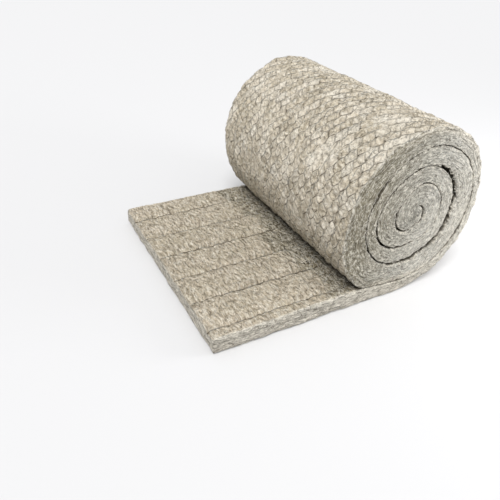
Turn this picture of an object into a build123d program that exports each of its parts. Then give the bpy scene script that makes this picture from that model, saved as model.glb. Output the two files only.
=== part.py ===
"""A roll of wired stone wool mat, partly unrolled: the coil rests on its own loose end.

One piece of stock. The mat leaves the floor at the left, passes under the coil, climbs its
right side and winds inwards, counter-clockwise as seen from the -Y end. The joints between
the turns show as a spiral groove on both ends, and the rows of stitches draw the faces in.
Origin: on the floor, below the axis of the coil. +X away from the loose end, +Y along the axis.
"""

from build123d import *

import os
from math import cos, radians, sin, sqrt

# Driving dimensions, in millimetres
mat_width = 600
mat_thickness = 46
loose_length = 520
floor_reach = 12
corner_radius = 12
rim_radius = 8
joint_depth = 28
joint_gap = 3.5
joint_lead = 10
open_joint_gap = 9
eye_width = 7
stitch_rows = 6
stitch_pitch = 99
stitch_shift = -19
stitch_width = 26
stitch_depth = 3.5
coil_drift = 13

# How thick the mat lies at each quarter turn, as a share of its own thickness. The list runs
# inwards from below the axis: bottom, right, top and left of the outermost turn, and so on.
LIE = [0.83, 0.50, 0.96, 1.22, 1.28, 1.37, 0.96, 0.63, 1.15, 0.91, 0.96, 1.22, 1.04, 1.20, 1.20]
# Where the innermost turn folds round the eye: left, bottom, right and top, in mat thicknesses
CORE = [1.35, 0.48, 0.43, 0.72]
QUARTERS_A_TURN = 4
# The one joint that gapes, at the right of the third turn
OPEN_QUARTER = 9


def quarter_radii():
    """Distance from the axis to the outside of the mat at each quarter turn, outermost first."""
    radii = [share * mat_thickness for share in CORE]
    for share in reversed(LIE):
        radii.insert(0, radii[QUARTERS_A_TURN - 1] + share * mat_thickness)
    return radii


RADII = quarter_radii()
axis_height = RADII[0]
last_quarter = len(RADII) - 1


def radius(quarter):
    """Radius at a number of quarter turns that need not be whole."""
    before = min(int(quarter), last_quarter - 1)
    share = quarter - before
    return RADII[before] * (1 - share) + RADII[before + 1] * share


def on_spiral(quarter, offset=0.0):
    """Point of the section, offset outwards from the joint by a distance."""
    angle = radians(90 * quarter - 90)
    reach = radius(quarter) + offset
    return Vector(reach * cos(angle), 0, axis_height + reach * sin(angle))


def below_left(share, inset=0.0):
    """Point on the outside of the coil, a share of the way round from its left to its bottom."""
    angle = radians(180 + 90 * share)
    reach = RADII[3] * (1 - share) + RADII[0] * share - inset
    return Vector(reach * cos(angle), 0, axis_height + reach * sin(angle))


def nip_point(inset=0.0):
    """Where the outside of the coil meets the top of the loose end."""
    reach = (RADII[0] + RADII[3]) / 2 - inset
    drop = axis_height - mat_thickness + inset
    return Vector(-sqrt(reach**2 - drop**2), 0, mat_thickness - inset)


def seam_x():
    """Where the loose end is joined to the rest of the mat, just outside the nip."""
    return nip_point().X - joint_lead


def coil_section(inset=0.0):
    """Outline of the coil with the mat below it, seen along the axis and drawn in by an inset."""
    low, high, seam = inset, mat_thickness - inset, seam_x()
    nip = nip_point(inset)
    floor_end = Vector(floor_reach, 0, low)
    round_points = [on_spiral(step / 2, -inset) for step in range(1, 7)]
    round_points += [below_left(share, inset) for share in (0.2, 0.4)]
    edges = [
        Line(Vector(seam, 0, low), floor_end),
        Spline(floor_end, *round_points, nip),
        Line(nip, Vector(seam, 0, high)),
        Line(Vector(seam, 0, high), Vector(seam, 0, low)),
    ]
    return Face(Wire(edges))


def loose_section(inset=0.0):
    """Outline of the loose end, seen along the axis and drawn in by an inset."""
    end, low, high, seam = inset - loose_length, inset, mat_thickness - inset, seam_x()
    corner = corner_radius
    bulge = corner * (1 - sqrt(0.5))
    low_end, high_end = Vector(end, 0, low + corner), Vector(end, 0, high - corner)
    low_start, high_start = Vector(end + corner, 0, low), Vector(end + corner, 0, high)
    edges = [
        ThreePointArc(low_end, Vector(end + bulge, 0, low + bulge), low_start),
        Line(low_start, Vector(seam, 0, low)),
        Line(Vector(seam, 0, low), Vector(seam, 0, high)),
        Line(Vector(seam, 0, high), high_start),
        ThreePointArc(high_start, Vector(end + bulge, 0, high - bulge), high_end),
        Line(high_end, low_end),
    ]
    return Face(Wire(edges))


def slab(face, start, length):
    """The section pushed along the axis from one place to another."""
    return extrude(face.moved(Location((0, start, 0))), amount=length, dir=Vector(0, 1, 0))


def joint_opening(quarter):
    """Width of the joint between two turns, wide where the coil has sprung open."""
    nearness = max(0.0, 1 - abs(quarter - OPEN_QUARTER) / 2)
    return joint_gap + (open_joint_gap - joint_gap) * nearness


def joint_band():
    """The spiral joint as a narrow face, from just outside the nip to the eye."""
    mouth = nip_point() - Vector(joint_lead, 0, 0)
    steps = [step / 2 for step in range(2 * QUARTERS_A_TURN, 2 * last_quarter + 1)]
    half = Vector(0, 0, joint_gap / 2)
    outer = [mouth - half] + [on_spiral(q, joint_opening(q) / 2) for q in steps]
    inner = [mouth + half] + [on_spiral(q, -joint_opening(q) / 2) for q in steps]
    return band(outer, inner)


def eye_band():
    """The hollow that is left where the inner end of the mat folds round."""
    steps = [last_quarter - back / 2 for back in range(3, -1, -1)]
    outer = [on_spiral(q, eye_width / 2) for q in steps]
    inner = [on_spiral(q, -eye_width / 2) for q in steps]
    return band(outer, inner)


def band(outer, inner):
    """Face between two smooth lines of points that run side by side."""
    edges = [
        Spline(*outer),
        Line(outer[-1], inner[-1]),
        Spline(*reversed(inner)),
        Line(inner[0], outer[0]),
    ]
    return Face(Wire(edges))


def stitch_places():
    """Where the rows of stitches lie along the axis."""
    middle = (stitch_rows - 1) / 2
    return [stitch_shift + (row - middle) * stitch_pitch for row in range(stitch_rows)]


def quilted(outline, drift=0.0):
    """An outline pushed along the axis, with a shallow groove where each row of stitches lies."""
    stops = [(-mat_width / 2, 0)]
    for place in stitch_places():
        middle = place + drift
        stops.append((middle - stitch_width / 2, 0))
        stops.append((middle, stitch_depth))
        stops.append((middle + stitch_width / 2, 0))
    stops.append((mat_width / 2, 0))
    return loft([outline(inset).moved(Location((0, y, 0))) for y, inset in stops], ruled=True)


def stone_wool_mat():
    """The whole mat as one solid: coil, loose end, joints, eye and stitch rows."""
    end = mat_width / 2
    mat = quilted(coil_section, coil_drift) + quilted(loose_section)
    rims = mat.edges().filter_by(lambda edge: abs(edge.center().Y) > end - 0.01)
    mat = fillet(rims, rim_radius)
    joint = joint_band()
    for start in (-end, end - joint_depth):
        mat -= slab(joint, start, joint_depth)
    return mat - slab(eye_band(), -end, mat_width)


def main():
    os.makedirs("parts", exist_ok=True)
    mat = stone_wool_mat()
    export_step(mat, "parts/stone_wool_mat.step")
    print("size", mat.bounding_box().size, "litres", round(mat.volume / 1e6, 1))
    print("mat in the piece, metres", round(mat.volume / mat_thickness / mat_width / 1000, 2))


if __name__ == "__main__":
    main()
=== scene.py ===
"""A partly unrolled roll of wired mineral wool mat.

The mat is made flat as one closed slab, and each of its points is then moved to where the winding
takes it. The flat place of a point stays on it as an attribute, and the finishes follow that.

Everywhere s runs along the flat mat from its cut end, y across it and w through it from the wired
face, all in metres. Depth is 0 on the wired face and 1 on the bare one.
"""

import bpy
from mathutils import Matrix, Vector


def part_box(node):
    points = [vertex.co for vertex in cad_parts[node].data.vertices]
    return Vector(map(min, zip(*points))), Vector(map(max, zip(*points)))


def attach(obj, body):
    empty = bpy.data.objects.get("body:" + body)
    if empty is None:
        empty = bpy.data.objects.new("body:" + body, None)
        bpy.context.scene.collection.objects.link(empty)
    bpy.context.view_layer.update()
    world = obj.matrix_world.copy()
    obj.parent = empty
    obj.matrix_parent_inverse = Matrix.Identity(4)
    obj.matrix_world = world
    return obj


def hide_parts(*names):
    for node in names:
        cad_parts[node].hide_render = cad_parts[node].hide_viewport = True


bl_info = {
    "name": "Wired mineral wool roll",
    "version": (1, 0, 0),
    "blender": (4, 5, 0),
    "location": "3D View > Sidebar > Wool roll",
    "description": "Builds a partly unrolled roll of mineral wool mat with wire netting",
    "category": "Add Mesh",
}

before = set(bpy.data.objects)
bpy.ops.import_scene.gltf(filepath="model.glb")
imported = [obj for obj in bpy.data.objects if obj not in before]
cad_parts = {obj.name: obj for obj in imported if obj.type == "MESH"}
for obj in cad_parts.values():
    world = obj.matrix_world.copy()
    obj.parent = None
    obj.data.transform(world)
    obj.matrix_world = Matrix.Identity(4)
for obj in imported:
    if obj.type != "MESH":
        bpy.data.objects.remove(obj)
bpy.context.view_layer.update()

from bisect import bisect_right
from math import cos, exp, floor, hypot, pi, radians, sin, sqrt
from random import Random

import bmesh
import bpy
from bpy.props import FloatProperty, FloatVectorProperty, IntProperty, PointerProperty
from mathutils import Matrix, Vector
from mathutils.noise import noise

CAD_NODE = "stone_wool_mat"
MAT_LOW, MAT_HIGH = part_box(CAD_NODE)
MM = 0.001
BIG = 100.0

# How thick the mat lies at each quarter turn, as a share of its own thickness. The list runs
# inwards from below the axis: bottom, right, top and left of the outermost turn, and so on.
LIE = [0.83, 0.50, 0.96, 1.22, 1.28, 1.37, 0.96, 0.63, 1.15, 0.91, 0.96, 1.22, 1.04, 1.20, 1.20]
# Where the innermost turn folds round the eye: left, bottom, right and top
CORE = [1.35, 0.48, 0.43, 0.72]
TURN = 4
LAST = len(LIE) + len(CORE) - 1
# How far the joint between two turns gapes, in millimetres, from the fourth quarter inwards and
# at each half quarter
GAPE = [3.0, 4.2, 3.4, 1.9, 2.4, 2.2, 2.4, 3.4, 8.5, 14.0, 17.0, 13.0, 2.2, 4.4, 5.6, 5.4, 3.0, 1.7,
        1.3, 1.2, 2.0, 4.0, 6.0, 5.4, 3.4, 2.4, 7.5, 6.6, 2.8]
# Stations of the nip, where the coil meets the loose end, and of a crease across the outside
NIP, CREASE = TURN - 0.33, 2.53
# The coil covers the bare face from here on, in metres from the cut end
COVER = 0.38
# The stitches shift by this share of a stitch from one row to the next
STAGGER = 0.37
# The netting's rows lie this far apart, in mesh widths. A twisted side takes up half of that, and
# the wires slant between its end and the tip of the mesh.
ROW = sqrt(3) / 2
SIDE, TIP = ROW / 4, ROW * 3 / 4
SLANT = (2 * SIDE / hypot(2 * SIDE, 0.5), 0.5 / hypot(2 * SIDE, 0.5), 0)


def linear(code):
    """Linear colour of an sRGB hex code."""
    parts = [int(code[at:at + 2], 16) / 255 for at in (0, 2, 4)]
    return [part / 12.92 if part <= 0.04045 else ((part + 0.055) / 1.055) ** 2.4 for part in parts]


def smooth(low, high, value):
    """Smooth step from 0 at low to 1 at high."""
    share = min(1.0, max(0.0, (value - low) / (high - low)))
    return share * share * (3 - 2 * share)


def fade(low, high, value):
    """Smooth step from 1 at low to 0 at high."""
    return 1 - smooth(low, high, value)


def mix(low, high, share):
    return low + (high - low) * share


def near(off, reach):
    """Nearness to a line: 1 on it, a third at the reach, and almost nought at twice the reach."""
    return exp(-((off / reach) ** 2))


def uneven(height, a, b, seed):
    """Unevenness of about a height. A and b count in lumps, and another seed gives other lumps."""
    return height * noise(Vector((a, b, seed)))


def looked_up(value, known, wanted):
    """The wanted quantity where the known one has a value. Both lists run in step."""
    at = min(max(bisect_right(known, value), 1), len(known) - 1)
    share = (value - known[at - 1]) / (known[at] - known[at - 1])
    return mix(wanted[at - 1], wanted[at], share)


def length(name, size, words):
    return FloatProperty(name=name, default=size, description=words, unit="LENGTH", precision=4)


def colour(name, code, words):
    return FloatVectorProperty(name=name, default=linear(code), description=words, subtype="COLOR",
                               min=0, max=1)


class MatSizes(bpy.types.PropertyGroup):
    """Sizes of the wool mat, in metres."""

    width: length("Width", MAT_HIGH[1] - MAT_LOW[1], "Width of the mat, along the coil's axis")
    loose: length("Loose end", -MAT_LOW[0], "Length that lies flat, from below the axis")
    thickness: length("Thickness", 46 * MM, "Thickness of the mat as the stitches hold it")
    cell: length("Cell", 4.4 * MM, "Size of the faces that the surface is made of")
    rim: length("Rim", 8 * MM, "Radius of the worn edges of the mat")
    lip: length("Lip", 2.4 * MM, "Radius of the edges between the turns, at the ends")
    pillow: length("Pillow", 3.6 * MM, "How far the wool bulges through each mesh of the netting")
    lump: length("Lump", 1.7 * MM, "Height of the slow unevenness of the wool")
    row_pitch: length("Row pitch", 99 * MM, "Distance between the rows of stitches")
    row_shift: length("Row shift", -19 * MM, "How far the rows sit off the middle")
    row_drift: length("Row drift", 13 * MM, "How far the rows have moved along the axis on the coil")
    rows: IntProperty(name="Rows", default=6, description="Number of rows of stitches")
    stitch: length("Stitch", 52 * MM, "Distance between two stitch holes")
    groove: length("Groove", 4.0 * MM, "How deep a row of stitches draws the wool in")


class NettingSizes(bpy.types.PropertyGroup):
    """Sizes of the hexagonal netting, in metres."""

    mesh: length("Mesh", 27 * MM, "Width of a mesh between its two twisted sides")
    row: length("Row", 28 * MM, "Distance from one row of meshes to the next")
    wire: length("Wire", 0.9 * MM, "Thickness of the wire, drawn a little thicker than the real 0.7")
    wander: length("Wander", 3.6 * MM, "How far a wire strays from its place in a regular netting")


class StitchSizes(bpy.types.PropertyGroup):
    """Sizes of the stitching wire, in metres."""

    wire: length("Wire", 1.3 * MM, "Thickness of the stitching wire")
    step: length("Step", 8 * MM, "Length of the straight pieces that the wire is made of")


class FibreSizes(bpy.types.PropertyGroup):
    """Sizes of the loose tufts of fibre, in metres."""

    doublings: IntProperty(name="Doublings", default=13, max=14,
                           description="How many times one tuft is doubled: 13 makes 8192 of them")
    thick: length("Thickness", 0.7 * MM, "Thickness of a tuft, a few dozen real fibres together")
    long: length("Length", 11 * MM, "Length of a long tuft")
    seed: IntProperty(name="Seed", default=7, description="Start of the random numbers")


class Finishes(bpy.types.PropertyGroup):
    """Colours of the wool and the wire, and of the painted shade on the wool."""

    face: colour("Wired face", "E8DDCA", "Wool on the outside of the coil")
    inner: colour("Bare face", "CABDA8", "Wool on top of the loose end")
    cut: colour("Cut edge", "C6C4BC", "Wool at the ends of the coil")
    dull: colour("Dull patch", "C0B49C", "Wool where it has more binder")
    # Painted shade near the nip, on the left of the coil's ends and low on its outside.
    painted_shade: colour("Painted shade", "88826F", "Wool in painted shade")
    # Also painted light on the right of the coil's ends and painted highlights on the lips of the joints.
    pale: colour("Pale fibre", "F0EADC", "Bright strands of fibre")
    # Also painted shade in the wire creases, the row grooves and the stitch holes.
    dark: colour("Pit", "5A5142", "Wool in a pit or a crease")
    # Painted shade deep in the joints between the turns.
    deep: colour("Joint shade", "4A4336", "Painted shade deep between two turns")
    zinc: colour("Zinc", "A9A8A2", "Galvanised wire")
    floor: colour("Floor", "DCDCDD", "Studio floor")


class Studio(bpy.types.PropertyGroup):
    """Place of the camera and strength of the lamps."""

    place: FloatVectorProperty(name="Camera", default=(-0.8537, -1.0107, 0.8268), subtype="XYZ",
                               unit="LENGTH", description="Place of the camera")
    azimuth: FloatProperty(name="Azimuth", default=radians(-30.04), unit="ROTATION",
                           description="Side from which the camera looks")
    elevation: FloatProperty(name="Elevation", default=radians(34.75), unit="ROTATION",
                             description="How steeply the camera looks down")
    roll: FloatProperty(name="Roll", default=radians(3.03), unit="ROTATION",
                        description="Turn of the camera about its own line of sight")
    lens: FloatProperty(name="Lens", default=37.03, description="Focal length in millimetres")
    key: FloatProperty(name="Key", default=2.28, description="Strength of the sun")
    fill: FloatProperty(name="Fill", default=9.0, description="Strength of the lamp near the end in watts")
    sky: FloatProperty(name="Sky", default=0.64, description="Strength of the even light all round")


class Winding:
    """Where the mat lies: the line of its outer and its inner face, seen along the axis.

    A station is a place along the mat. Below nought it is metres of loose end before the lowest
    point of the coil, and above nought it is quarter turns wound from there.
    """

    def __init__(self, mat):
        self.mat = mat
        self.radii = [share * mat.thickness for share in CORE]
        for share in reversed(LIE):
            self.radii.insert(0, self.radii[TURN - 1] + share * mat.thickness)
        self.axis = self.radii[0]
        self.tip = LAST + 0.3
        self.stations, self.lengths = self.measure()
        self.total = self.lengths[-1]

    def half_quarter(self, number):
        number = min(max(number, 0), 2 * LAST)
        if number % 2:
            return (self.radii[number // 2] + self.radii[number // 2 + 1]) / 2
        return self.radii[number // 2]

    def joint(self, quarter):
        """Radius of a smooth line through the joint between two turns."""
        number = min(int(quarter * 2), 2 * LAST - 1)
        t = quarter * 2 - number
        a, b, c, d = (self.half_quarter(number + k) for k in (-1, 0, 1, 2))
        return b + t * (c - a + t * (2 * a - 5 * b + 4 * c - d + t * (3 * (b - c) + d - a))) / 2

    def opening(self, quarter):
        """How far the joint gapes."""
        place = max(0.0, (quarter - TURN) * 2)
        first = min(int(place), len(GAPE) - 2)
        return mix(GAPE[first], GAPE[first + 1], min(1.0, place - first)) * MM

    def bed(self, x):
        """Height of the joint between the loose end and the coil that rests on it."""
        squeezed = self.axis - self.radii[TURN]
        return mix(squeezed, self.mat.thickness, smooth(0, 0.13, -x))

    def loose_top(self, x):
        return self.bed(x) - self.opening(TURN) / 2 * smooth(-0.135, -0.1, x)

    def outer(self, quarter):
        """Radius of the outer face."""
        if quarter < TURN - 1:
            return self.joint(quarter)
        if quarter < TURN:
            past = quarter - TURN + 1
            reach = mix(self.radii[TURN - 1], self.axis, past)
            down = radians(90 * (1 - past))
            rested = self.resting(min(self.resting(reach, down), reach), down)
            meet = reach + (rested - reach - hypot(rested - reach, 4 * MM)) / 2
            return meet - self.opening(TURN) / 2 * smooth(0.5, 0.7, past)
        if quarter > LAST:
            tight = mix(self.opening(LAST), 0.6 * MM, smooth(0, 0.1, quarter - LAST))
            return max(1.2 * MM, self.inner(quarter - TURN) - tight)
        return self.joint(quarter) - self.opening(quarter) / 2

    def resting(self, reach, down):
        """Radius at which the loose end stops the coil, at an angle from straight down."""
        steep = 1.4
        return (self.axis - self.bed(-reach * sin(down))) / cos(down) if down < steep else BIG

    def inner(self, quarter):
        """Radius of the inner face."""
        if quarter <= LAST - TURN:
            return self.joint(quarter + TURN) + self.opening(quarter + TURN) / 2
        last = self.joint(LAST) + self.opening(LAST) / 2
        return mix(last, 0.8 * MM, smooth(0, 0.3, quarter - LAST + TURN))

    def faces(self, station):
        """Outer and inner face at a station, as points of the section."""
        if station <= 0:
            return Vector((station, 0, 0)), Vector((station, 0, self.loose_top(station)))
        angle = radians(90 * station - 90)
        out = Vector((cos(angle), 0, sin(angle)))
        middle = Vector((0, 0, self.axis))
        return middle + out * self.outer(station), middle + out * self.inner(station)

    def measure(self):
        """Stations close together, and the length of outer face up to each."""
        steps = 60
        stations = [-self.mat.loose, 0.0]
        stations += [number / steps for number in range(1, int(self.tip * steps) + 1)]
        lengths = [0.0]
        for before, after in zip(stations, stations[1:]):
            lengths.append(lengths[-1] + (self.faces(after)[0] - self.faces(before)[0]).length)
        return stations, lengths

    def station(self, along):
        """Station at a length along the outer face from the cut end."""
        return looked_up(along, self.lengths, self.stations)

    def along(self, station):
        """Length along the outer face from the cut end at a station."""
        return looked_up(station, self.stations, self.lengths)


class Wool:
    """The uneven surface of the mat, worked out from the flat place of each point."""

    def __init__(self, mat, netting):
        self.mat = mat
        self.netting = netting
        self.winding = Winding(mat)
        self.nip = self.winding.along(NIP)
        self.crease = self.winding.along(CREASE)
        self.stretch = netting.row / ROW

    def netting_place(self, s, y):
        """Place in the netting, in mesh widths, with the wander of its wires."""
        wander = self.netting.wander
        u = y + uneven(wander, s / 0.05, y / 0.05, 3.1) + uneven(wander * 1.6, s / 0.23, y / 0.3, 8.4)
        v = s + uneven(wander, s / 0.05, y / 0.05, 17.7) + uneven(wander * 1.6, s / 0.3, y / 0.2, 21.3)
        return u / self.netting.mesh, v / self.stretch

    def mesh_of(self, u, v):
        """Distance to the nearest wire, in mesh widths, and the middle of the mesh."""
        rows = 2 * ROW
        found = []
        for half in (0, 0.5):
            middle = (round(u - half) + half, (round(v / rows - half) + half) * rows)
            du, dv = abs(u - middle[0]), abs(v - middle[1])
            slanting = SLANT[1] * (TIP - dv) - SLANT[0] * du
            found.append((min(0.5 - du, slanting), middle))
        return max(found)

    def pull(self, s, y):
        """How hard the netting pulls at the wool: in some patches hardly at all."""
        slow = uneven(1, s / 0.13, y / 0.16, 33) + uneven(0.5, s / 0.05, y / 0.06, 36)
        return 0.3 + 0.7 * smooth(-0.46, -0.04, slow)

    def row_place(self, s, y):
        """Place across the rows of stitches, in rows: whole numbers lie on a row."""
        mat = self.mat
        first = mat.row_shift - (mat.rows - 1) / 2 * mat.row_pitch
        first += mat.row_drift * smooth(0.45, 0.95, s)
        first += uneven(2.2 * MM, s / 0.11, round(y / 0.1) * 5.3, 0.7)
        return (y - first) / mat.row_pitch

    def row_distance(self, s, y):
        """Distance to the nearest row of stitches, and its number."""
        place = self.row_place(s, y)
        row = min(max(round(place), 0), self.mat.rows - 1)
        return abs(place - row) * self.mat.row_pitch, row

    def hole(self, s, row):
        """Nearness of a stitch hole, 1 at its middle."""
        place = s / self.mat.stitch + STAGGER * row
        return near((place - round(place)) * self.mat.stitch, 6 * MM)

    def wired_face(self, s, y):
        """Height of the wool on the face with the netting."""
        mat = self.mat
        u, v = self.netting_place(s, y)
        wire, middle = self.mesh_of(u, v)
        own = uneven(1, middle[0] * 1.7, middle[1] * 1.7, 5.2)
        pull = self.pull(s, y)
        bulge = pull * mat.pillow * (0.9 + 0.9 * own) * (1 - (1 - 2 * max(0.0, wire)) ** 3)
        lean = pull * MM * (3.4 * (v - middle[1]) - 1.2 * (u - middle[0]))
        off, row = self.row_distance(s, y)
        drawn = near(off, 7 * MM)
        groove = mat.groove * (0.25 + 0.35 * self.hole(s, row)) * drawn
        bent = self.crease + uneven(14 * MM, y / 0.08, 0.3, 0.9)
        crease = 3.6 * MM * near(s - bent, 4.5 * MM) * smooth(-0.17, -0.13, y) * fade(0.18, 0.22, y)
        slow = uneven(1.3 * mat.lump, s / 0.11, y / 0.11, 0)
        fine = uneven(0.9 * MM, s / 0.018, y / 0.02, 4)
        return bulge * (1 - 0.3 * drawn) + lean - groove - crease + slow + fine - 1.3 * MM

    def bare_face(self, s, y):
        """Height of the wool on the face without netting, with a fold and debris near the coil."""
        mat = self.mat
        off, row = self.row_distance(s, y)
        hole = self.hole(s, row)
        groove = mat.groove * (0.75 + 0.6 * hole) * near(off, 4.5 * MM)
        near_hole = 1.6 * MM * hole * near(off, 12 * MM)
        crown = 2.6 * MM * (1 - near(off, 26 * MM))
        slow = uneven(1.3 * mat.lump, s / 0.07, y / 0.12, 30)
        strand = uneven(1.7 * MM, s / 0.010, y / 0.05, 34)
        fine = uneven(1.0 * MM, s / 0.014, y / 0.02, 38)
        fold = 3.6 * MM * smooth(0.303, 0.311, s) * fade(0.33, 0.40, s)
        fold *= smooth(-0.28, -0.255, y) * fade(-0.17, -0.155, y)
        debris = uneven(3.0 * MM, s / 0.009, y / 0.012, 44) * smooth(COVER - 0.05, COVER + 0.005, s)
        return crown - groove - near_hole + slow + strand + fine - fold + debris - 1.6 * MM

    def cut_face(self, s, w, end):
        """Height of the wool at an end of the coil, with the layers it is built up of."""
        layer = uneven(1.9 * MM, s / 0.05, w / 0.0045, 50 + end)
        layer += uneven(2.0 * MM, s / 0.011, w / 0.008, 53 + end)
        slow = uneven(3.2 * MM, s / 0.09, w / 0.05, 57 + end)
        return layer + slow + uneven(2.2 * MM, s / 0.4, 61 + end, 0)

    def place(self, s, y, depth, raise_by=0.0):
        """Where a flat place lies on the roll, or a point raised above it."""
        winding, half = self.winding, self.mat.width / 2
        station = winding.station(s)
        out, into = winding.faces(station)
        thick = (into - out).length
        inward = (into - out) / thick
        w = depth * thick
        side = 1 if y > 0 else -1
        from_end = half - abs(y)
        covered = smooth(self.nip, self.nip + 0.015, s)
        across, through, run_back = self.worn(s, w, thick, from_end)
        on_wired = fade(2 * MM, 9 * MM, w)
        if on_wired > 0:
            through -= on_wired * self.wired_height(s, y, covered) * mix(1, 0.3, covered)
        on_bare = fade(2 * MM, 9 * MM, thick - w)
        if on_bare > 0:
            through += on_bare * self.bare_height(s, y, station)
        under_coil = smooth(COVER + 0.02, COVER + 0.07, s)
        if under_coil > 0:
            inner_side = smooth(0.25, 0.75, depth)
            through -= (1 - inner_side) * covered * self.wiggle(station, y)
            through -= inner_side * under_coil * self.wiggle(station + TURN, y)
        point = out + inward * (through - raise_by)
        turn = floor(max(station, 0) / TURN)
        bulge = fade(2 * MM, 11 * MM, from_end) * self.cut_face(s, w + 13 * MM * turn, side)
        point.y = side * (half - across + bulge)
        if station < 0:
            ragged = 2.4 * MM * fade(4 * MM, 14 * MM, s)
            point.x += run_back + uneven(ragged, y / 0.03, w / 0.012, 70)
            point.z = max(point.z, 0.2 * MM)
        return point

    def worn(self, s, w, thick, from_end):
        """Rounds the edges: place across and through the mat, and how far the cut end runs back."""
        mat = self.mat
        wound = smooth(self.nip - 0.02, self.nip + 0.01, s)
        radius = min(mix(mat.rim, mat.lip, wound), thick * 0.45)
        wound = smooth(COVER, COVER + 0.04, s)
        inner_radius = min(mix(mat.rim * 0.7, mat.lip, wound), thick * 0.45)
        across, through, run_back = from_end, w, 0.0
        if from_end < radius and w < radius:
            across, through = rounded(from_end, w, radius)
        elif from_end < inner_radius and thick - w < inner_radius:
            across, rest = rounded(from_end, thick - w, inner_radius)
            through = thick - rest
        shallow = min(w, thick - w)
        if s < radius and shallow < radius:
            back, sunk = rounded(s, shallow, radius)
            run_back = back - s
            through += (sunk - shallow) if w < radius else (shallow - sunk)
        return across, through, run_back

    def wiggle(self, quarter, y):
        """How far a joint wanders outwards from its smooth line. Both of its faces follow it."""
        if quarter > LAST:
            return 0.0
        return uneven(1.5 * MM, quarter * 13, y / 0.03, 97) + uneven(1.6 * MM, quarter * 4.3, y / 0.06, 99)

    def hidden(self, s, y, w, thick, from_end):
        """How surely a point lies inside a joint between two turns, from 0 to 1."""
        station = self.winding.station(s)
        frayed = uneven(8 * MM, y / 0.012, s / 0.02, 95)
        wired = fade(2 * MM, 6 * MM, w) * smooth(self.nip - 0.012, self.nip + 0.004, s)
        bare = fade(2 * MM, 6 * MM, thick - w) * smooth(COVER - 0.008, COVER + 0.008, s + frayed)
        wall, lip = self.winding.opening(station + TURN), self.winding.opening(station)
        bare *= smooth(0, 2 * MM + 0.55 * wall, from_end)
        return max(wired * smooth(0, 2 * MM + 0.25 * lip, from_end), bare)

    def wired_height(self, s, y, covered):
        """Height of the wired face, which is squeezed flat where it lies on something."""
        height = self.wired_face(s, y)
        on_floor = fade(self.mat.loose + 0.02, self.mat.loose + 0.09, s)
        height = mix(height, min(height, 0.0) * 0.35 - 1.5 * MM, on_floor)
        return mix(height, uneven(1.3 * MM, s / 0.016, y / 0.03, 80), covered)

    def bare_height(self, s, y, station):
        """Height of the bare face, which is ragged where it faces a gap."""
        under_coil = smooth(COVER - 0.01, COVER + 0.02, s)
        gap = self.winding.opening(station + TURN) if station > 0 else 2 * MM
        ragged = uneven(0.5 * gap, s / 0.009, y / 0.02, 84)
        ragged += uneven(0.25 * gap, s / 0.035, y / 0.05, 86)
        return mix(self.bare_face(s, y), ragged, under_coil) if under_coil < 1 else ragged


def rounded(a, b, radius):
    """Turns the square corner at nought, nought into a round one."""
    x, y = radius - a, radius - b
    far = hypot(x, y)
    if far == 0:
        return a, b
    scale = max(x, y) / far
    return radius - x * scale, radius - y * scale


def everything(bm):
    return bm.verts[:] + bm.edges[:] + bm.faces[:]


def spin(bm, step, steps, copies):
    """Repeats all of a mesh in straight steps, or pulls it out into a rod."""
    bmesh.ops.spin(bm, geom=everything(bm), dvec=step, angle=0, steps=steps, use_duplicate=copies,
                   axis=(0, 0, 1), cent=(0, 0, 0))


def flat_slab(wool):
    """The mat unrolled and flat, as one closed slab with close faces where they show."""
    mat, winding = wool.mat, wool.winding
    columns = round(winding.total / mat.cell)
    half, rims = mat.width / 2, [0, 2.5 * MM, 6 * MM, 12 * MM]
    lines = [off - half for off in rims] + [half - off for off in reversed(rims)]
    bm = bmesh.new()
    bmesh.ops.create_grid(bm, x_segments=columns, y_segments=len(lines) - 1, size=1)
    for vert in bm.verts:
        line = round((vert.co.y + 1) / 2 * (len(lines) - 1))
        vert.co = ((vert.co.x + 1) / 2 * winding.total, lines[line], 0)
    made = bmesh.ops.extrude_face_region(bm, geom=bm.faces[:], use_keep_orig=True)
    top = [item for item in made["geom"] if isinstance(item, bmesh.types.BMVert)]
    bmesh.ops.translate(bm, verts=top, vec=(0, 0, 1))
    upright = [edge for edge in bm.edges if abs(edge.verts[0].co.z - edge.verts[1].co.z) > 0.5]
    depths = [0, 0.05, 0.12, 0.21, 0.35, 0.5, 0.65, 0.79, 0.88, 0.95, 1]
    bmesh.ops.subdivide_edges(bm, edges=upright, cuts=len(depths) - 2, use_grid_fill=True)
    for vert in bm.verts:
        vert.co.z = depths[round(vert.co.z * (len(depths) - 1))]
    middle = half - rims[-1]
    cuts = round(2 * middle / mat.cell) - 1
    shown, coarse = [], []
    for edge in bm.edges:
        x, y, depth = edge.verts[0].co
        if abs(y - edge.verts[1].co.y) < middle:
            continue
        at_end = x < 1e-6 or x > winding.total - 1e-6
        outside = depth == 0 and mat.loose < x < wool.nip + 0.03
        if at_end or outside or (depth == 1 and x < COVER + 0.04):
            shown.append(edge)
        elif depth == 0 and x <= mat.loose:
            coarse.append(edge)
    bmesh.ops.subdivide_edges(bm, edges=shown, cuts=cuts)
    bmesh.ops.subdivide_edges(bm, edges=coarse, cuts=cuts // 2)
    return bm


def new_object(name, bm, finish):
    """Makes an object of a mesh and gives it its finish."""
    bmesh.ops.recalc_face_normals(bm, faces=bm.faces[:])
    mesh = bpy.data.meshes.new(name)
    bm.to_mesh(mesh)
    bm.free()
    mesh.shade_smooth()
    mesh.materials.append(finish)
    made = bpy.data.objects.new(name, mesh)
    bpy.context.collection.objects.link(made)
    return made


def new_piece(name, bm, finish):
    """Makes a piece of the roll that rides on it."""
    piece = new_object(name, bm, finish)
    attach(piece, "root")
    return piece


def wool_of(context):
    scene = context.scene
    return Wool(scene.wool_mat, scene.wool_netting)


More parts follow.
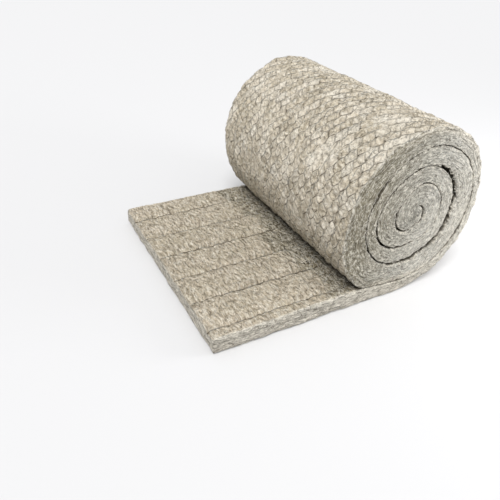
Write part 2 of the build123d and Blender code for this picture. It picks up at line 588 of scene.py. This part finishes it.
class WOOL_OT_mat(bpy.types.Operator):
    """Makes the mat of mineral wool as one closed piece"""

    bl_idname = "wool.mat"
    bl_label = "Stone wool mat"

    def execute(self, context):
        wool = wool_of(context)
        bm = flat_slab(wool)
        vectors, numbers = bm.verts.layers.float_vector, bm.verts.layers.float
        flat, meshes, rows = (vectors.new(f"{name}_place") for name in ("mat", "netting", "stitch"))
        pull, lip = (numbers.new(name) for name in ("netting_pull", "lip_place"))
        for vert in bm.verts:
            s, y, depth = vert.co
            out, into = wool.winding.faces(wool.winding.station(s))
            thick = (into - out).length
            w = depth * thick
            from_end = wool.mat.width / 2 - abs(y)
            # How deep a point lies in a joint between two turns; the shader paints shade there by it.
            inside = wool.hidden(s, y, w, thick, from_end)
            shown = smooth(1 * MM, 7 * MM, from_end) * (1 - inside)
            u, v = wool.netting_place(s, y)
            vert[flat] = (s, y, w)
            vert[meshes] = (u + BIG, v + BIG, fade(1 * MM, 5 * MM, w) * shown)
            vert[rows] = (wool.row_place(s, y) + BIG, inside, fade(1 * MM, 5 * MM, thick - w) * shown)
            vert[pull] = wool.pull(s, y)
            vert[lip] = min(w, thick - w)
            vert.co = wool.place(s, y, depth)
        finish = stone_wool(context.scene.wool_finishes, wool.mat.stitch)
        piece = new_piece("wool_mat", bm, finish)
        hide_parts(CAD_NODE)
        return {"FINISHED"}


class WOOL_OT_netting(bpy.types.Operator):
    """Makes the hexagonal wire netting on the outer face of the mat"""

    bl_idname = "wool.netting"
    bl_label = "Wire netting"

    def execute(self, context):
        wool = wool_of(context)
        netting = wool.netting
        half = wool.mat.width / 2 - 3 * MM
        across = int(2 * half / netting.mesh) + 4
        along = int((wool.nip + 0.02) / (2 * netting.row)) + 3
        bm = bmesh.new()
        for shift in (0, 0.5):
            made = bmesh.ops.create_circle(bm, segments=6, radius=1 / sqrt(3), cap_ends=True)
            for vert in made["verts"]:
                tip = abs(vert.co.x) < 0.1
                vert.co.y = (TIP if tip else SIDE) * (1 if vert.co.y > 0 else -1) + shift * 2 * ROW
                vert.co.x += shift
        spin(bm, (1, 0, 0), across, copies=True)
        spin(bm, (0, 2 * ROW, 0), along, copies=True)
        bmesh.ops.remove_doubles(bm, verts=bm.verts[:], dist=0.01)
        first_u = floor(-half / netting.mesh) - 1
        for vert in bm.verts:
            vert.co = self.unwandered(wool, vert.co.x + first_u, vert.co.y - 1)
        self.trim(bm, wool, half)
        bmesh.ops.subdivide_edges(bm, edges=bm.edges[:], cuts=2)
        bmesh.ops.wireframe(bm, faces=bm.faces[:], thickness=netting.wire, use_replace=True,
                            use_boundary=True, use_even_offset=False)
        for vert in bm.verts:
            s, y, high = vert.co
            sunk = 1.5 * MM * smooth(-0.15, 0.3, uneven(1, s / 0.024, y / 0.024, 90))
            vert.co = wool.place(s, y, 0.0, raise_by=high + 0.3 * MM - sunk)
        new_piece("wire_netting", bm, galvanised_wire(context.scene.wool_finishes))
        return {"FINISHED"}

    def unwandered(self, wool, u, v):
        """Flat place of a point of the netting."""
        y, s = u * wool.netting.mesh, v * wool.stretch
        for _ in range(4):
            at_u, at_v = wool.netting_place(s, y)
            y += (u - at_u) * wool.netting.mesh
            s += (v - at_v) * wool.stretch
        return Vector((s, y, 0))

    def trim(self, bm, wool, half):
        """Cuts the netting off at the borders of the mat, where its selvedge wires run."""
        cuts = [((0, half, 0), (0, 1, 0)), ((0, -half, 0), (0, -1, 0)),
                ((4 * MM, 0, 0), (-1, 0, 0)), ((wool.nip + 0.01, 0, 0), (1, 0, 0))]
        for place, normal in cuts:
            bmesh.ops.bisect_plane(bm, geom=everything(bm), plane_co=place, plane_no=normal,
                                   clear_outer=True, dist=1e-5)


class WOOL_OT_stitching(bpy.types.Operator):
    """Makes the rows of wire stitches that hold the netting to the wool"""

    bl_idname = "wool.stitching"
    bl_label = "Stitching wire"

    def execute(self, context):
        wool = wool_of(context)
        sizes = context.scene.wool_stitches
        bm = bmesh.new()
        for row in range(wool.mat.rows):
            for face in (0, 1):
                made = bmesh.ops.create_circle(bm, cap_ends=True, segments=5, radius=sizes.wire / 2)
                bmesh.ops.translate(bm, verts=made["verts"], vec=(row, face, 0))
        steps = round(wool.nip / sizes.step)
        spin(bm, (0, 0, 1 / steps), steps, copies=False)
        for vert in bm.verts:
            row, face = round(vert.co.x), round(vert.co.y)
            end = wool.mat.loose - 0.115 if face else wool.nip - 0.004
            s = mix(6 * MM, end, vert.co.z)
            up = 1 - 2 * face
            dip = 3.2 * MM * wool.hole(s, row) ** 2
            dip += (1.6 - 0.8 * face) * MM * smooth(-0.2, 0.2, uneven(1, s / 0.03, row * 3.3, 93))
            rise = up * (vert.co.y - face + 0.4 * MM - dip)
            y = self.row_line(wool, row, s) + vert.co.x - row
            vert.co = wool.place(s, y, face, raise_by=rise)
        new_piece("stitching_wire", bm, galvanised_wire(context.scene.wool_finishes))
        return {"FINISHED"}

    def row_line(self, wool, row, s):
        """Where a row lies across the mat."""
        y = 0.0
        for _ in range(5):
            y += (row - wool.row_place(s, y)) * wool.mat.row_pitch
        return y


class WOOL_OT_fibres(bpy.types.Operator):
    """Scatters loose tufts of fibre over the ends, the rims and the faces"""

    bl_idname = "wool.fibres"
    bl_label = "Loose fibres"

    def execute(self, context):
        wool = wool_of(context)
        sizes = context.scene.wool_fibres
        bm = self.many(sizes.doublings)
        dice = Random(sizes.seed)
        tufts = [self.pick(wool, sizes, dice) for _ in range(2 ** sizes.doublings)]
        for vert in bm.verts:
            number = round(vert.co.x)
            root, heading, beside, out, reach, rise, bend, thick = tufts[number]
            t = vert.co.z + 0.5
            along = heading * (t - 0.4) * reach + beside * (bend * t * t * reach * 0.4)
            lift = out * (reach * rise * t * (1.25 - t) - 0.3 * MM)
            vert.co = root + along + lift + (beside * (vert.co.x - number) + out * vert.co.y) * thick
        new_piece("loose_fibres", bm, loose_fibre(context.scene.wool_finishes))
        return {"FINISHED"}

    def many(self, doublings):
        """Upright tufts of unit size, a unit apart, made by doubling their number again and again."""
        bm = bmesh.new()
        bmesh.ops.create_cone(bm, cap_ends=True, segments=3, radius1=0.25, radius2=0.1, depth=1)
        long = [edge for edge in bm.edges if abs(edge.verts[0].co.z - edge.verts[1].co.z) > 0.5]
        bmesh.ops.subdivide_edges(bm, edges=long, cuts=2)
        for power in range(doublings):
            copy = bmesh.ops.duplicate(bm, geom=everything(bm))["geom"]
            verts = [item for item in copy if isinstance(item, bmesh.types.BMVert)]
            bmesh.ops.translate(bm, verts=verts, vec=(2 ** power, 0, 0))
        return bm

    def pick(self, wool, sizes, dice):
        """Chooses where one tuft lies on the mat, and how it bends."""
        half, winding = wool.mat.width / 2, wool.winding
        kind, side, thick = dice.random(), dice.choice((-1, 1)), 1.0
        swing, rise = dice.gauss(0, 0.6), dice.uniform(0.05, 0.4)
        ends, rims, gap, crevice, outside = 0.5, 0.62, 0.635, 0.69, 0.86
        if kind < ends:
            s, y, depth = dice.uniform(0.02, winding.total - 0.05), side * half, dice.random()
        elif kind < rims:
            s, y = dice.uniform(0.02, winding.total - 0.05), side * half
            depth, rise = dice.choice((0.02, 0.98)), dice.uniform(0.3, 0.9)
        elif kind < gap:
            s = dice.uniform(winding.along(4.1), winding.along(6.4))
            y, depth = side * (half - dice.uniform(0, 3) * MM), 1
            swing, rise, thick = dice.uniform(-pi, pi), dice.uniform(0.8, 2.2), 2.6
        elif kind < crevice:
            s, y, depth = dice.uniform(0.335, 0.385), dice.uniform(-half, half), 1
            swing, rise, thick = dice.uniform(-pi, pi), dice.uniform(0.4, 1.2), 1.7
        elif kind < outside:
            s, y, depth = dice.uniform(0.6, wool.nip), dice.uniform(-half, half), 0
            swing = dice.uniform(-pi, pi)
        else:
            s, y, depth = dice.uniform(0.0, 0.4), dice.uniform(-half, half), 1
            swing = dice.gauss(pi / 2, 0.5)
        root = wool.place(s, y, depth)
        run = (wool.place(s + 2 * MM, y, depth) - root).normalized()
        first, last = winding.faces(winding.station(s))
        out = Vector((0, side, 0))
        if abs(y) < half:
            out = (first - last).normalized() if depth == 0 else (last - first).normalized()
        heading = run * cos(swing) + out.cross(run).normalized() * sin(swing)
        beside = out.cross(heading).normalized()
        reach = sizes.long * dice.uniform(0.4, 1.0)
        return root, heading, beside, out, reach, rise, dice.uniform(-0.9, 0.9), thick * sizes.thick * 2


class WOOL_OT_studio(bpy.types.Operator):
    """Lays the floor and sets the lamps, the sky and the camera"""

    bl_idname = "wool.studio"
    bl_label = "Studio"

    def execute(self, context):
        scene = context.scene
        self.lay_floor(scene.wool_finishes)
        self.hang_lamps(context, scene.wool_studio)
        self.light_sky(scene, scene.wool_studio)
        self.set_camera(context, scene.wool_studio)
        scene.view_settings.view_transform = "Standard"
        return {"FINISHED"}

    def lay_floor(self, finishes):
        bm = bmesh.new()
        bmesh.ops.create_grid(bm, x_segments=1, y_segments=1, size=20)
        floor_sheet = new_object("studio_floor", bm, studio_paper(finishes))

    def hang_lamps(self, context, studio):
        """A wide soft sun from above, and a large lamp near the coil's end."""
        sun = bpy.data.lights.new("key_sun", "SUN")
        sun.energy = studio.key
        sun.angle = radians(26)
        near = bpy.data.lights.new("end_lamp", "AREA")
        near.shape = "SQUARE"
        near.size = 0.6
        near.energy = studio.fill
        for light, place in ((sun, Vector((-0.6, -0.65, 1.55))), (near, Vector((1.05, -0.9, 0.5)))):
            lamp = bpy.data.objects.new(light.name, light)
            lamp.location = place
            aim = Vector((0.05, -0.1, 0.2)) if light == near else Vector((0, 0, 0))
            lamp.rotation_euler = (aim - place).to_track_quat("-Z", "Y").to_euler()
            context.collection.objects.link(lamp)

    def light_sky(self, scene, studio):
        """An even sky that the camera and reflections see as white."""
        world = bpy.data.worlds.new("studio_sky")
        world.use_nodes = True
        tree = world.node_tree
        tree.nodes.clear()
        rays = add_node(tree, "ShaderNodeLightPath")
        camera, glossy, through = (Value(rays, f"Is {kind} Ray")
                                   for kind in ("Camera", "Glossy", "Transmission"))
        seen = join("MAXIMUM", join("MAXIMUM", camera, glossy), through)
        dim, white = (Value(add_node(tree, "ShaderNodeBackground", {"Strength": strength,
                                                                    "Color": (1, 1, 1, 1)}))
                      for strength in (studio.sky, 1.0))
        both = add_node(tree, "ShaderNodeMixShader", {0: seen, 1: dim, 2: white})
        add_node(tree, "ShaderNodeOutputWorld", {"Surface": Value(both)})
        scene.world = world

    def set_camera(self, context, studio):
        a, e, r = studio.azimuth, studio.elevation, studio.roll
        back = Vector((sin(a) * cos(e), -cos(a) * cos(e), sin(e)))
        right = Vector((cos(a), sin(a), 0))
        up = back.cross(right)
        across = right * cos(r) + up * sin(r)
        upward = up * cos(r) - right * sin(r)
        data = bpy.data.cameras.new("camera")
        data.lens = studio.lens
        data.sensor_width = 36
        camera = bpy.data.objects.new("camera", data)
        turn = Matrix((across, upward, back)).transposed()
        camera.matrix_world = Matrix.Translation(studio.place) @ turn.to_4x4()
        context.collection.objects.link(camera)
        context.scene.camera = camera


def add_node(tree, kind, settings=None):
    """Adds a node and sets its properties and inputs. An input that gets a Value is linked to it."""
    node = tree.nodes.new(kind)
    for name, item in (settings or {}).items():
        if isinstance(item, Value):
            tree.links.new(item.socket, node.inputs[name])
        elif isinstance(name, str) and hasattr(node, name):
            setattr(node, name, item)
        else:
            node.inputs[name].default_value = item
    return node


class Value:
    """What a node gives out. Numbers add up and multiply with it, as do other values."""

    def __init__(self, node, output=0):
        self.tree, self.socket = node.id_data, node.outputs[output]

    def __add__(self, other):
        return join("ADD", self, other)

    def __sub__(self, other):
        return join("SUBTRACT", self, other)

    def __rsub__(self, other):
        return join("SUBTRACT", other, self)

    def __mul__(self, other):
        return join("MULTIPLY", self, other)


def join(operation, first, second=0.0):
    """Joins two values, or a value and a number, with one kind of sum."""
    tree = (first if isinstance(first, Value) else second).tree
    return Value(add_node(tree, "ShaderNodeMath", {"operation": operation, 0: first, 1: second}))


def join_vectors(operation, first, second):
    """Joins two vectors with one kind of sum. The second may be plain numbers."""
    settings = {"operation": operation, 0: first, 1: second}
    return Value(add_node(first.tree, "ShaderNodeVectorMath", settings))


def parts(vector):
    """The three parts of a vector."""
    node = add_node(vector.tree, "ShaderNodeSeparateXYZ", {0: vector})
    return [Value(node, number) for number in range(3)]


def off_whole(value):
    """Distance from the nearest whole number."""
    return join("ABSOLUTE", join("FRACT", value + 0.5) - 0.5)


def attribute(tree, name, output="Vector"):
    return Value(add_node(tree, "ShaderNodeAttribute", {"attribute_name": name}), output)


def object_place(tree):
    return Value(add_node(tree, "ShaderNodeTexCoord"), "Object")


def ramp(value, low, high, to_low=0.0, to_high=1.0):
    """Stretches the part of a value between two limits."""
    limits = {"From Min": low, "From Max": high, "To Min": to_low, "To Max": to_high}
    return Value(add_node(value.tree, "ShaderNodeMapRange", {**limits, "Value": value}))


def stretched(place, sizes_mm, offset=0.0):
    """Coordinates that count in pieces of a real size along, across and through the mat."""
    scale = tuple(1 / (size * MM) for size in sizes_mm)
    settings = {"Scale": scale, "Location": (offset, offset, offset), "Vector": place}
    return Value(add_node(place.tree, "ShaderNodeMapping", settings))


def grain(place, sizes_mm, detail=2.0, offset=0.0, rough=0.55, twist=0.0):
    """Noise whose lumps have a real size, from nought to one."""
    settings = {"Scale": 1, "Detail": detail, "Roughness": rough, "Distortion": twist,
                "Vector": stretched(place, sizes_mm, offset)}
    return Value(add_node(place.tree, "ShaderNodeTexNoise", settings), "Fac")


def folds(place, sizes_mm, offset):
    """Sharp crests with wide hollows between them, like crumpled felt."""
    settings = {"noise_type": "RIDGED_MULTIFRACTAL", "normalize": True, "Scale": 1, "Detail": 2.5,
                "Roughness": 0.55, "Lacunarity": 2.1, "Offset": 0.9, "Gain": 1.6, "Distortion": 0.3,
                "Vector": stretched(place, sizes_mm, offset)}
    return Value(add_node(place.tree, "ShaderNodeTexNoise", settings), "Fac")


def strand(place, sizes_mm, offset, width):
    """Thin winding lines, like single strands that lie on the mass: one on the line, else nought."""
    lumps = grain(place, sizes_mm, 1.5, offset, 0.5, 0.4)
    return ramp(join("ABSOLUTE", lumps - 0.5), 0, width, 1, 0)


def blend(share, first, second):
    """Mixes two colours."""
    first, second = (tone if isinstance(tone, Value) else (*tone, 1) for tone in (first, second))
    settings = {"data_type": "RGBA", "Factor": share, 6: first, 7: second}
    return Value(add_node(share.tree, "ShaderNodeMix", settings), 2)


def empty_material(name):
    material = bpy.data.materials.new(name)
    material.use_nodes = True
    material.node_tree.nodes.clear()
    return material, material.node_tree


def end_material(tree, settings):
    """Adds the shader that a material ends in."""
    shader = Value(add_node(tree, "ShaderNodeBsdfPrincipled", settings))
    add_node(tree, "ShaderNodeOutputMaterial", {"Surface": shader})


def mesh_distances(place, shift):
    """In one of the two grids of meshes: place in the mesh, how far inside it, and from each wire."""
    moved = join_vectors("ADD", place, (0.5 - shift, (0.5 - shift) * 2 * ROW, 0))
    wrapped = join_vectors("MODULO", moved, (1, 2 * ROW, 1))
    centred = join_vectors("SUBTRACT", wrapped, (0.5, ROW, 0))
    flat = join_vectors("MULTIPLY", centred, (1, 1, 0))
    across, along, _ = parts(join_vectors("ABSOLUTE", flat, (0, 0, 0)))
    twisted = 0.5 - across
    slanting = SLANT[1] * TIP - (along * SLANT[1] + across * SLANT[0])
    return flat, join("MINIMUM", twisted, slanting), twisted, slanting


def wire_distance(place):
    """Distances to the nearest twisted side and slanting wire, in mesh widths, a tone for each mesh,
    and how dark the slanting wire's shadow is."""
    first, second = mesh_distances(place, 0), mesh_distances(place, 0.5)
    nearer = join("GREATER_THAN", second[1], first[1])
    settings = {"data_type": "VECTOR", "Factor": nearer, 4: first[0], 5: second[0]}
    inside = Value(add_node(place.tree, "ShaderNodeMix", settings), 1)
    middle = join_vectors("SUBTRACT", place, inside)
    snapped = join_vectors("SNAP", join_vectors("ADD", middle, (0.125, 0.125, 0)), (0.25, 0.25, 1000))
    own_tone = Value(add_node(place.tree, "ShaderNodeTexWhiteNoise", {"Vector": snapped}), "Value")
    twisted, slanting = (Value(add_node(place.tree, "ShaderNodeMix", {0: nearer, 2: one, 3: other}))
                         for one, other in zip(first[2:], second[2:]))
    across, along, _ = parts(inside)
    return twisted, slanting, own_tone, ramp(across * along, -0.01, 0.01, 1, 0.45)


class WoolPattern:
    """What the eye sees in the wool. Each pattern is a share from nought to one.

    Bare, cut and wired tell the faces apart, and hollow says how deep between two turns it is,
    for the painted shade there.
    """

    def __init__(self, tree, stitch):
        self.place = attribute(tree, "mat_place")
        self.along, _, self.through = parts(self.place)
        self.from_lip = attribute(tree, "lip_place", "Fac")
        self.row, self.hollow, self.bare = parts(attribute(tree, "stitch_place"))
        netting = attribute(tree, "netting_place")
        self.wired = parts(netting)[2]
        self.cut = 1.0 - join("MAXIMUM", self.wired, self.bare)
        self.x, _, self.z = parts(object_place(tree))
        self.lay_fibres()
        self.press_wires(netting, attribute(tree, "netting_pull", "Fac"))
        self.sew_rows(stitch)

    def by_face(self, maker, *settings):
        """A pattern that is made with other settings on the bare, the cut and the wired face."""
        bare, cut, wired = (maker(self.place, *own) for own in settings)
        return self.bare * bare + self.cut * cut + self.wired * wired

    def lay_fibres(self):
        """Streaks, specks and crumpled folds, and single strands and cracks where they lie apart."""
        self.specks = grain(self.place, (3.6, 3.6, 3.2), 3, 9, 0.75)
        self.matted = self.by_face(grain, ((4.5, 17, 5), 3, 0, 0.68, 0.5),
                                   ((15, 15, 4.6), 3, 4, 0.7, 0.5),
                                   ((9, 12, 7), 3, 13, 0.66, 0.5))
        self.streak = ramp(self.matted, 0.34, 0.66)
        self.felt = self.by_face(folds, ((15, 26, 15), 61), ((36, 36, 9), 65), ((24, 24, 24), 69))
        some = ramp(grain(self.place, (16, 16, 12), 1, 45), 0.42, 0.58)
        self.bright = some * self.by_face(strand, ((6.5, 16, 7), 21, 0.04), ((15, 15, 6), 25, 0.035),
                                          ((15, 12, 12), 29, 0.016))
        self.cracks = (1.0 - some) * self.by_face(strand, ((7.5, 17, 7), 33, 0.03),
                                                  ((15, 15, 8), 37, 0.04),
                                                  ((17, 15, 12), 41, 0.012))

    def press_wires(self, netting, pull):
        """A crease at each wire, with painted shade in dashes where the wire has sunk in."""
        twisted, slanting, self.own_tone, under = wire_distance(netting)
        dashes = ramp(grain(self.place, (17, 17, 17), 1, 49), 0.42, 0.53)
        twisted_shade = ramp(twisted, 0.015, 0.045, 1, 0) * dashes * 0.7
        slant_shade = ramp(slanting, 0.015, 0.05, 1, 0) * (dashes * 0.7 + 0.4) * under
        self.crease = join("MAXIMUM", twisted_shade, slant_shade) * self.wired * pull
        self.deep = ramp(join("MINIMUM", twisted, slanting), 0, 0.1, 1, 0) * self.wired * pull

    def sew_rows(self, stitch):
        """Painted shade in a broken line in the groove of each row of stitches, and in a spot at each
        stitch hole.
        """
        off_row = off_whole(self.row)
        broken = ramp(grain(self.place, (13, 60, 13), 2, 53), 0.34, 0.5, 0.25, 1)
        line = ramp(off_row, 0.006, 0.017, 1, 0) * broken * (self.bare + self.wired * 0.4)
        number = join("FLOOR", self.row + (0.5 - BIG))
        off_hole = off_whole(self.along * (1 / stitch) + number * STAGGER + BIG)
        hole = ramp(off_hole, 0.03, 0.075, 1, 0) * ramp(off_row, 0.012, 0.032, 1, 0) * self.bare
        self.seam = join("MAXIMUM", line, hole)

    def colour(self, finishes):
        """Lays one tone over another, each where its share is above nought; some are painted light and
        shade.
        """
        place, along, bare, cut, wired = self.place, self.along, self.bare, self.cut, self.wired
        outside = ramp(along, 1.85, 1.95, 1, 0) * ramp(along, 0.95, 1.25, 0.15, 1)
        warm = ramp(self.through, 3 * MM, 22 * MM, 0.85, 0) * outside * cut
        # Painted shade on the bare face just before the coil covers it, starting a little apart on each
        # strip between rows.
        strip = join("FRACT", join("FLOOR", self.row) * 2.39)
        start = along + strip * 0.05 + grain(place, (30, 36, 30), 3, 73) * 0.07
        nip_shade = ramp(start, COVER - 0.025, COVER - 0.005, 0, 0.8) * bare
        sideways = self.x - self.z * 0.18 + 0.04
        wound = ramp(along, 0.5, 0.75)
        # Painted shade on the left of the coil's ends.
        left = ramp(sideways, -0.15, 0.04, 0.95, 0) * cut * wound
        # Painted light on the right of the coil's ends and low on them, where the end lamp falls.
        right = ramp(sideways, 0, 0.2, 0, 0.4) * cut
        flat_side = cut * (1.0 - wound) * 0.35
        patches = grain(place, (85, 65, 60), 2, 17)
        dulled = ramp(patches, 0.38, 0.62, 0, 0.55) * ramp(cut, 0, 1, 1, 0.15)
        # Painted shade low on the outside of the coil, which faces the floor.
        low_shade = ramp(self.z, 0.05, 0.22, 0.32, 0) * wired
        # Painted highlight along the lips of the joints at the coil's ends.
        lip = ramp(self.from_lip, 1 * MM, 6 * MM, 0.9, 0) * cut
        lip = lip * ramp(grain(place, (13, 13, 30), 2, 57), 0.45, 0.55)
        crumbs = ramp(self.z, 0.06, 0.26, 0.7, 0) * wired
        crumbs = crumbs + ramp(start, COVER - 0.035, COVER + 0.005, 0, 0.9) * bare
        crumbs = crumbs * ramp(grain(place, (8, 8, 8), 3, 77, 0.7), 0.38, 0.47, 1, 0)
        pits = ramp(self.specks + self.streak * 0.3, 0.42, 0.6, 0.5, 0)
        coats = [
            (warm, finishes.face),
            # painted shade where the coil meets the loose end
            (nip_shade, finishes.painted_shade),
            # painted shade on the left of the coil's ends
            (left, finishes.painted_shade),
            (flat_side, finishes.inner),
            # painted light on the right of the coil's ends
            (right, finishes.pale),
            (dulled, finishes.dull),
            (ramp(patches, 0.3, 0.46, 0.6, 0) * wired, finishes.pale),
            (ramp(self.own_tone, 0.35, 1, 0, 0.5) * wired, finishes.dull),
            (ramp(self.own_tone, 0, 0.3, 0.45, 0) * wired, finishes.pale),
            (ramp(self.streak, 0.5, 1, 0, 0.75), finishes.pale),
            (ramp(self.streak, 0.05, 0.42, 0.25, 0), finishes.dark),
            (ramp(self.felt, 0.05, 0.42, 0.4, 0), finishes.dark),
            (self.bright * 0.95, finishes.pale),
            # painted shade low on the outside of the coil
            (low_shade, finishes.painted_shade),
            # painted highlight on the lips
            (lip, finishes.pale),
            (crumbs, finishes.dark),
            (pits, finishes.dark),
            (self.cracks * 0.75, finishes.dark),
            # painted shade in the wire creases
            (self.crease * 0.95, finishes.dark),
            # painted shade in the row grooves and stitch holes
            (self.seam * 0.95, finishes.dark),
            # painted shade in the joints between the turns
            (self.hollow * 0.93, finishes.deep),
        ]
        base = blend(bare, blend(cut, finishes.face, finishes.cut), finishes.inner)
        for share, tone in coats:
            base = blend(share, base, tone)
        return base

    def relief(self):
        """Height of the relief that is too fine for the mesh."""
        raised = self.matted * 1.2 + self.specks * 0.9 + self.bright * 0.3 + self.felt * 2.2
        return raised - self.deep * 1.25 - self.cracks * 0.45 - self.seam * 0.9


def stone_wool(finishes, stitch):
    """Stone wool, spun from molten rock, needled and cut: a dull, matted mass of pale fibres.

    The eye sees no single fibre but streaks of them, which run across the faces of the mat and
    along the layers at its cut edges, with dark pits between and a crease at each wire. Shade is
    painted into the creases, the rows of stitches and the joints between the turns.
    """
    material, tree = empty_material("needled stone wool")
    pattern = WoolPattern(tree, stitch)
    bump = add_node(tree, "ShaderNodeBump",
                    {"Strength": 1, "Distance": 3.0 * MM, "Height": pattern.relief()})
    end_material(tree, {"Roughness": 0.95, "Specular IOR Level": 0.2, "Normal": Value(bump),
                        "Base Color": pattern.colour(finishes)})
    return material


def loose_fibre(finishes):
    """Stone wool drawn out to single tufts: thin, dull and a shade paler than the mass."""
    material, tree = empty_material("loose stone wool")
    tone = ramp(grain(object_place(tree), (14, 14, 14), 1), 0.35, 0.65)
    end_material(tree, {"Roughness": 0.85, "Specular IOR Level": 0.3,
                        "Base Color": blend(tone, finishes.cut, finishes.pale)})
    return material


def galvanised_wire(finishes):
    """Drawn steel wire with a hot-dipped coat of zinc: grey, half dull, with darker stains."""
    name = "galvanised wire"
    if name in bpy.data.materials:
        return bpy.data.materials[name]
    material, tree = empty_material(name)
    place = object_place(tree)
    stain = ramp(grain(place, (9, 9, 9), 2), 0.45, 0.7, 0, 0.6)
    rough = ramp(grain(place, (3, 3, 3), 1), 0.3, 0.7, 0.42, 0.62)
    end_material(tree, {"Metallic": 1, "Base Color": blend(stain, finishes.zinc, finishes.dark),
                        "Roughness": rough})
    return material


def studio_paper(finishes):
    """Matt background paper: pale, with no shine, so that only soft shadows show on it."""
    material, tree = empty_material("background paper")
    end_material(tree, {"Roughness": 1, "Specular IOR Level": 0,
                        "Base Color": (*finishes.floor, 1)})
    return material


class WOOL_PT_roll(bpy.types.Panel):
    """Lists the pieces of the roll"""

    bl_idname = "WOOL_PT_roll"
    bl_label = "Wool roll"
    bl_space_type = "VIEW_3D"
    bl_region_type = "UI"
    bl_category = "Wool roll"

    def draw(self, context):
        for maker in MAKERS:
            self.layout.operator(maker.bl_idname)
        for name in GROUPS:
            box = self.layout.box()
            group = getattr(context.scene, name)
            for item in group.bl_rna.properties:
                if item.identifier not in ("rna_type", "name"):
                    box.prop(group, item.identifier)


GROUPS = {"wool_mat": MatSizes, "wool_netting": NettingSizes, "wool_stitches": StitchSizes,
          "wool_fibres": FibreSizes, "wool_finishes": Finishes, "wool_studio": Studio}
MAKERS = [WOOL_OT_mat, WOOL_OT_netting, WOOL_OT_stitching, WOOL_OT_fibres, WOOL_OT_studio]
CLASSES = [*GROUPS.values(), *MAKERS, WOOL_PT_roll]


def register():
    for item in CLASSES:
        bpy.utils.register_class(item)
    for name, group in GROUPS.items():
        setattr(bpy.types.Scene, name, PointerProperty(type=group))


def unregister():
    for name in GROUPS:
        delattr(bpy.types.Scene, name)
    for item in reversed(CLASSES):
        bpy.utils.unregister_class(item)


def main():
    register()
    bpy.ops.wool.mat()
    bpy.ops.wool.netting()
    bpy.ops.wool.stitching()
    bpy.ops.wool.fibres()
    bpy.ops.wool.studio()
    bpy.context.view_layer.update()


if __name__ == "__main__":
    main()
